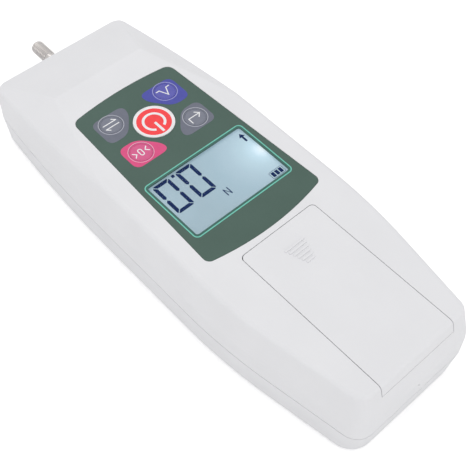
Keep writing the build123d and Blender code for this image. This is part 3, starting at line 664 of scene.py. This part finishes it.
def thread_cut(turns_along, turn_share):
    """How deep a thread's groove is, from 0 to 1, some turns along and at a share of a turn round."""
    phase = (turns_along + turn_share) % 1
    return 1 - min(abs(phase - 0.5) / thread_flank, 1)


def zero_digit(x, y):
    """The six lit segments of a nought, mitred and cut at the corners and pointed at the middle."""
    side, end = digit_width / 2, digit_height / 2
    inner_side, inner_end = side - digit_stroke, end - digit_stroke
    middle_side, middle_gap = side - digit_stroke / 2, segment_gap + digit_stroke / 2
    gap, cut = segment_gap, segment_corner_cut
    level = [
        (gap + cut - side, end), (side - gap - cut, end), (side - gap - cut / 2, end - cut / 2),
        (inner_side - gap, inner_end), (gap - inner_side, inner_end),
        (gap + cut / 2 - side, end - cut / 2),
    ]
    upright = [
        (side, end - gap - cut), (side, middle_gap), (middle_side, gap), (inner_side, middle_gap),
        (inner_side, inner_end - gap), (side - cut / 2, end - gap - cut / 2),
    ]
    ways = (-1, 1)
    shapes = [[(x + a, y + way * b) for a, b in level] for way in ways]
    shapes += [[(x + across * a, y + way * b) for a, b in upright] for across in ways for way in ways]
    return shapes


def unit_letter():
    """The letter of the unit of force, as two uprights and a slant."""
    low, high = box_round(unit_place, (unit_width, unit_height))
    left_high = (low[0] + unit_stroke, high[1])
    right_low = (high[0] - unit_stroke, low[1])
    return [
        rounded_rectangle(low, left_high, unit_corner, steps=1),
        rounded_rectangle(right_low, high, unit_corner, steps=1),
        [
            (low[0], high[1]), (low[0] + unit_slant_stroke, high[1]),
            (high[0], low[1]), (high[0] - unit_slant_stroke, low[1]),
        ],
    ]


def load_arrow():
    """The arrow that shows the direction of the load."""
    x, y = arrow_place
    tip = y + arrow_length / 2
    neck = tip - arrow_head
    tail = y - arrow_length / 2
    half_stem = arrow_stem / 2
    return [
        [(x, tip), (x - arrow_half_width, neck), (x + arrow_half_width, neck)],
        [(x - half_stem, neck), (x - half_stem, tail), (x + half_stem, tail), (x + half_stem, neck)],
    ]


def charge_mark():
    """Three bars in a frame, for the charge of the cells."""
    x, y = charge_place
    shapes = []
    for i in (-1, 0, 1):
        low, high = box_round((x + i * charge_pitch, y), charge_bar)
        shapes.append(rounded_rectangle(low, high, charge_bar_corner, steps=1))
    low, high = box_round(charge_place, charge_frame)
    shapes.append(outline_strip(low, high, charge_frame_corner, charge_line))
    return shapes


def display_pieces():
    """The reading on the display: two noughts with a point between them, the unit and two marks."""
    digits = zero_digit(first_digit_x, digit_y) + zero_digit(second_digit_x, digit_y)
    low, high = box_round(dot_place, (dot_size, dot_size))
    digits.append(rounded_rectangle(low, high, dot_corner, steps=2))
    shows = {
        "digits": digits, "unit_letter": unit_letter(),
        "load_arrow": load_arrow(), "charge_mark": charge_mark(),
    }
    for name, shapes in shows.items():
        flat_piece(name, shapes, glass_top, segment_ink, "case")


def border_pieces():
    """The pale line and the darker margin printed round the window."""
    pane_low = [place / mm + window_flange for place in window_low.xy]
    pane_high = [place / mm - window_flange for place in window_high.xy]
    low = [place - border_margin for place in pane_low]
    high = [place + border_margin for place in pane_high]
    inner, outer = outline_strip(low, high, border_corner, border_width)
    flat_piece("border_line", [(inner, outer)], overlay_top, mint_ink, "case")
    edge = rounded_rectangle(pane_low, pane_high, pane_corner)
    margin = [(edge, inner)]
    flat_piece("border_margin", margin, overlay_top, margin_ink, "case", lift=margin_lift)


def key_patch(centre):
    """The outline of the patch round a small key, with a corner cut off beside the power key."""
    side = 1 if centre[0] > 0 else -1
    near, cut, far = patch_front if centre[1] > power_middle.y / mm else patch_rear
    corners = [
        (side * patch_outer_x, far), (side * patch_inner_x, far), (side * patch_inner_x, cut),
        (side * patch_cut_x, near), (side * patch_outer_x, near),
    ]
    return dense_outline(rounded_polygon(corners, patch_rounding))


def strip_round_hole(outline, centre, radius):
    """The strip between a round hole and an outline, with both loops running round the centre."""
    by_angle = sorted((atan2(y - centre[1], x - centre[0]), (x, y)) for x, y in outline)
    hole = [(centre[0] + radius * cos(angle), centre[1] + radius * sin(angle)) for angle, _ in by_angle]
    return hole, [point for _, point in by_angle]


def bead_piece(name, centre, radii, heights, material, body):
    """A rounded ring between two heights in metres, with its centre and radii in millimetres."""
    inner, outer = radii
    low, high = heights
    middle, crown = (inner + outer) / 2, (outer - inner) * bead_crown_share
    shoulder = low + (high - low) * bead_shoulder_share
    rows = [
        (low, inner * mm), (shoulder, inner * mm), (high, (middle - crown) * mm),
        (high, (middle + crown) * mm), (shoulder, outer * mm), (low, outer * mm),
    ]
    x, y = centre[0] * mm, centre[1] * mm
    solid = bmesh.new()
    lathe(solid, rows, lambda z, u, v: (x + u, y + v, z), ring_sides, closed=True)
    smooth_piece(name, solid, material, body, sharp_angle=60)


def key_symbol(name, centre):
    """The line symbol of a small key, turned to be read from the stud's end."""
    shapes = []
    if name == "zero":
        inner_size = [length - 2 * symbol_stroke for length in nought_size]
        hollow = rounded_rectangle(*box_round(centre, inner_size), nought_inner_corner)
        shapes.append((hollow, rounded_rectangle(*box_round(centre, nought_size), nought_corner)))
    for line in symbol_lines[name]:
        shapes.append(stroke([(centre[0] - x, centre[1] - y) for x, y in line], symbol_stroke))
    return shapes


def small_key_pieces(name, hue):
    """The patch on the film, the cap's face and symbol, the ring round the cap and its collar."""
    patch_ink, cap_ink, ring_painted_highlight_ink = key_inks[hue]
    body = f"{name}_button"
    low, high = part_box(f"{name}_key")
    centre = ((low.x + high.x) / 2 / mm, (low.y + high.y) / 2 / mm)
    cap_radius = (high.x - low.x) / 2 / mm - key_flange_margin
    face = high.z - key_rim * mm

    patch = strip_round_hole(key_patch(centre), centre, cap_radius + patch_gap)
    flat_piece(f"{name}_patch", [patch], overlay_top, patch_ink, "case")
    disc = circle(centre, cap_radius - 2 * key_rim)
    flat_piece(f"{name}_face", [disc], face, cap_ink, body)
    symbol = key_symbol(name, centre)
    flat_piece(f"{name}_symbol", symbol, face, white_ink, body, lift=symbol_lift)

    # The ring round the cap carries a painted highlight: its pale ink stands for the light its embossed
    # edge catches
    radii = (bead_inner_radius, bead_outer_radius)
    heights = (overlay_top, overlay_top + bead_height * mm)
    bead_piece(f"{name}_bead", centre, radii, heights, ring_painted_highlight_ink, "case")
    radii = (cap_radius - key_rim, cap_collar_radius)
    heights = (high.z - 2 * cap_collar_depth * mm, high.z - cap_collar_depth * mm)
    bead_piece(f"{name}_collar", centre, radii, heights, cap_ink, body)


def power_pieces():
    """The red disc and the power symbol on the large key."""
    centre = (power_middle.x / mm, power_middle.y / mm)
    face = power_high.z - key_rim * mm
    disc = circle(centre, power_red_radius)
    flat_piece("power_disc", [disc], face, red_ink, "power_button")
    inner, outer = (
        arc(centre, power_symbol_radius + grow, power_symbol_gap - 90, 270 - power_symbol_gap, steps=60)
        for grow in (-power_symbol_stroke / 2, power_symbol_stroke / 2)
    )
    bar_ends = [(centre[0], centre[1] - reach) for reach in (power_bar_start, power_bar_end)]
    symbol = [outer + inner[::-1], stroke(bar_ends, power_symbol_stroke, round_ends=False)]
    flat_piece("power_symbol", symbol, face, white_ink, "power_button", lift=symbol_lift)


def collar_span():
    """The two ends of the shaft's collar, read from the points that lie near the solid's rim."""
    rim = 0.95 * shaft_collar_radius
    vertices = [v.co for v in nodes["sensing_shaft"].data.vertices]
    widest = [v.y for v in vertices if hypot(v.x, v.z - shaft_axis_z) > rim]
    return min(widest), max(widest)


def threaded_shaft():
    """The shaft with a cut thread on its stud; it stands for the plain one."""
    radius = stud_radius * mm
    root = neck_radius * mm
    chamfer = thread_chamfer * mm
    tip = stud_high.y
    start = tip - thread_length * mm
    neck_start = start - neck_length * mm
    collar_low, collar_high = collar_span()
    count = int(thread_length / thread_pitch * shaft_steps)

    def thread_row(i):
        y = start + (tip - start) * i / count
        crest = root if i == 0 else radius - chamfer * max(0.0, 1 - (tip - y) / chamfer)

        def reach(k):
            groove = thread_depth * mm * thread_cut(i / shaft_steps, k / shaft_sides)
            return min(radius - groove, crest)

        return y, reach

    rows = [(stud_low.y, 0), (stud_low.y, radius)]
    rows += [(collar_low, radius), (collar_low, shaft_collar_radius)]
    rows += [(collar_high, shaft_collar_radius), (collar_high, radius)]
    rows += [(neck_start, radius), (neck_start, root), (start, root)]
    rows += [thread_row(i) for i in range(count + 1)]
    rows.append((tip, 0))
    solid = bmesh.new()
    lathe(solid, rows, lambda y, u, v: (u, y, shaft_axis_z + v), shaft_sides)
    shaft = smooth_piece("threaded_shaft", solid, shaft_steel, "shaft")
    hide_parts("sensing_shaft")


def insert_radius():
    """The outer radius of one insert, from the width of those on the left."""
    left = [v.co.x for v in nodes["mount_inserts"].data.vertices if v.co.x < 0]
    return (max(left) - min(left)) / 2


def insert_form(solid, centre, top, outer):
    """One insert: a countersunk mouth, a thread cut into the bore, and a knurled outside."""
    bore = insert_bore * mm
    mouth = insert_mouth * mm
    step = insert_pitch * mm / insert_steps

    def thread_row(i):
        def reach(k):
            return bore + insert_thread_depth * mm * thread_cut(i / insert_steps, k / insert_sides)
        return mouth + i * step, reach

    def knurl(k):
        return outer - (k % 2) * knurl_depth * mm

    rows = [(0, bore + mouth)] + [thread_row(i) for i in range(int((top - 2 * mouth) / step))]
    rows += [(top - mouth, bore), (top, bore + mouth), (top, outer - mouth), (top - mouth, knurl)]
    rows += [(mouth, knurl), (0, outer - mouth)]
    lathe(solid, rows, lambda z, u, v: (centre[0] + u, centre[1] + v, z), insert_sides, closed=True)


def threaded_inserts():
    """The brass inserts with their threads and knurls; they stand for the plain ones."""
    low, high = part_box("mount_inserts")
    outer = insert_radius()
    solid = bmesh.new()
    for x in (low.x + outer, high.x - outer):
        for y in (low.y + outer, high.y - outer):
            insert_form(solid, (x, y), high.z, outer)
    inserts = smooth_piece("threaded_inserts", solid, brass, "case", sharp_angle=30)
    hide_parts("mount_inserts")


def cell_stagger():
    """How much longer the box of all the cells is than one cell, as they lie turned end for end."""
    low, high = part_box("battery_cells")
    vertices = [v.co for v in nodes["battery_cells"].data.vertices]
    one_cell = [v.y for v in vertices if v.x > 0 and v.z < (low.z + high.z) / 2]
    return (high.y - low.y) - (max(one_cell) - min(one_cell))


def jacket_sleeve(solid, origin, way, start, end):
    """Adds a thin sleeve between two distances from the nub's end of a cell, which faces one way."""
    inner = (cell_radius - jacket_thickness) * mm
    outer = (cell_radius + jacket_thickness) * mm
    x, y, z = origin
    rows = [(start, inner), (start, outer), (end, outer), (end, inner)]
    lathe(solid, rows, lambda along, u, v: (x + u, y + way * along, z + v), cell_sides, closed=True)


def cell_jackets():
    """Printed films round the four cells, with a paler band near the nub."""
    low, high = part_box("battery_cells")
    radius = cell_radius * mm
    body_start = (cell_nub_length + jacket_margin) * mm
    band_end = body_start + jacket_band * mm
    body_end = high.y - low.y - cell_stagger() - jacket_margin * mm
    sleeves = {
        "jacket_bands": (body_start, band_end, jacket_grey),
        "jacket_bodies": (band_end, body_end, jacket_blue),
    }
    for name, (start, end, material) in sleeves.items():
        solid = bmesh.new()
        for column, x in enumerate((low.x + radius, high.x - radius)):
            for layer, z in enumerate((low.z + radius, high.z - radius)):
                y, way = (high.y, -1) if (column + layer) % 2 else (low.y, 1)
                jacket_sleeve(solid, (x, y, z), way, start, end)
        smooth_piece(name, solid, material, "case")


def add_floor():
    """A wide pale floor, which isn't part of the object."""
    corners = [
        (x * floor_half_width, y * floor_half_width, -floor_depth)
        for x, y in ((-1, -1), (1, -1), (1, 1), (-1, 1))
    ]
    mesh = bpy.data.meshes.new("floor")
    mesh.from_pydata(corners, [], [(0, 1, 2, 3)])
    floor = add_object("floor", mesh)
    white = (floor_albedo, floor_albedo, floor_albedo)
    material, shader = node_material("floor_white", white, 0.8, Specular_IOR_Level=0.0)
    shader.inputs["Emission Color"].default_value = (1, 1, 1, 1)
    tree = material.node_tree
    path = tree.nodes.new("ShaderNodeLightPath")
    glow = tree.nodes.new("ShaderNodeMapRange")
    glow.inputs["To Max"].default_value = floor_glow
    tree.links.new(path.outputs["Is Camera Ray"], glow.inputs["Value"])
    tree.links.new(glow.outputs["Result"], shader.inputs["Emission Strength"])
    mesh.materials.append(material)


def add_lamp(name, place, size, power):
    """A square soft lamp that faces the part's origin."""
    lamp = bpy.data.lights.new(name, "AREA")
    lamp.shape = "SQUARE"
    lamp.size = size
    lamp.energy = power
    holder = add_object(name, lamp)
    holder.location = place
    holder.rotation_mode = "QUATERNION"
    holder.rotation_quaternion = (Vector((0, 0, 0)) - Vector(place)).to_track_quat("-Z", "Y")


def add_world():
    """White surroundings: plain where the camera sees them, and as light a little dimmer low down."""
    world = bpy.data.worlds.new("surroundings")
    world.use_nodes = True
    tree = world.node_tree
    background = tree.nodes["Background"]
    background.inputs["Color"].default_value = (1, 1, 1, 1)
    direction = tree.nodes.new("ShaderNodeTexCoord")
    parts = tree.nodes.new("ShaderNodeSeparateXYZ")
    rise = tree.nodes.new("ShaderNodeMapRange")
    rise.inputs["To Min"].default_value = world_low
    rise.inputs["To Max"].default_value = world_high
    tree.links.new(direction.outputs["Generated"], parts.inputs["Vector"])
    tree.links.new(parts.outputs["Z"], rise.inputs["Value"])
    tree.links.new(rise.outputs["Result"], background.inputs["Strength"])
    plain = tree.nodes.new("ShaderNodeBackground")
    plain.inputs["Color"].default_value = (1, 1, 1, 1)
    plain.inputs["Strength"].default_value = 1.0
    path = tree.nodes.new("ShaderNodeLightPath")
    mix = tree.nodes.new("ShaderNodeMixShader")
    tree.links.new(path.outputs["Is Camera Ray"], mix.inputs["Fac"])
    tree.links.new(background.outputs["Background"], mix.inputs[1])
    tree.links.new(plain.outputs["Background"], mix.inputs[2])
    tree.links.new(mix.outputs["Shader"], tree.nodes["World Output"].inputs["Surface"])
    bpy.context.scene.world = world


def add_camera():
    """The camera at the photograph's viewing angle."""
    forward = Vector(camera_forward).normalized()
    right = Vector(camera_right)
    right = (right - forward * right.dot(forward)).normalized()
    up = right.cross(forward)
    lens = bpy.data.cameras.new("camera")
    lens.sensor_width = 36
    lens.lens = focal_pixels / picture_pixels * lens.sensor_width
    lens.clip_start = 0.01
    lens.clip_end = 50
    camera = add_object("camera", lens)
    rotation = Matrix((right, up, -forward)).transposed()
    camera.matrix_world = Matrix.Translation(Vector(camera_place) * mm) @ rotation.to_4x4()
    bpy.context.scene.camera = camera


# The object
for node, material in node_looks.items():
    nodes[node].data.materials.clear()
    nodes[node].data.materials.append(material)
display_pieces()
border_pieces()
for name, hue in small_keys.items():
    small_key_pieces(name, hue)
power_pieces()
threaded_shaft()
threaded_inserts()
cell_jackets()

# Its surroundings
add_floor()
for name, (place, size, power) in soft_lamps.items():
    add_lamp(name, place, size, power)
add_world()
add_camera()
bpy.context.scene.view_settings.view_transform = "Standard"
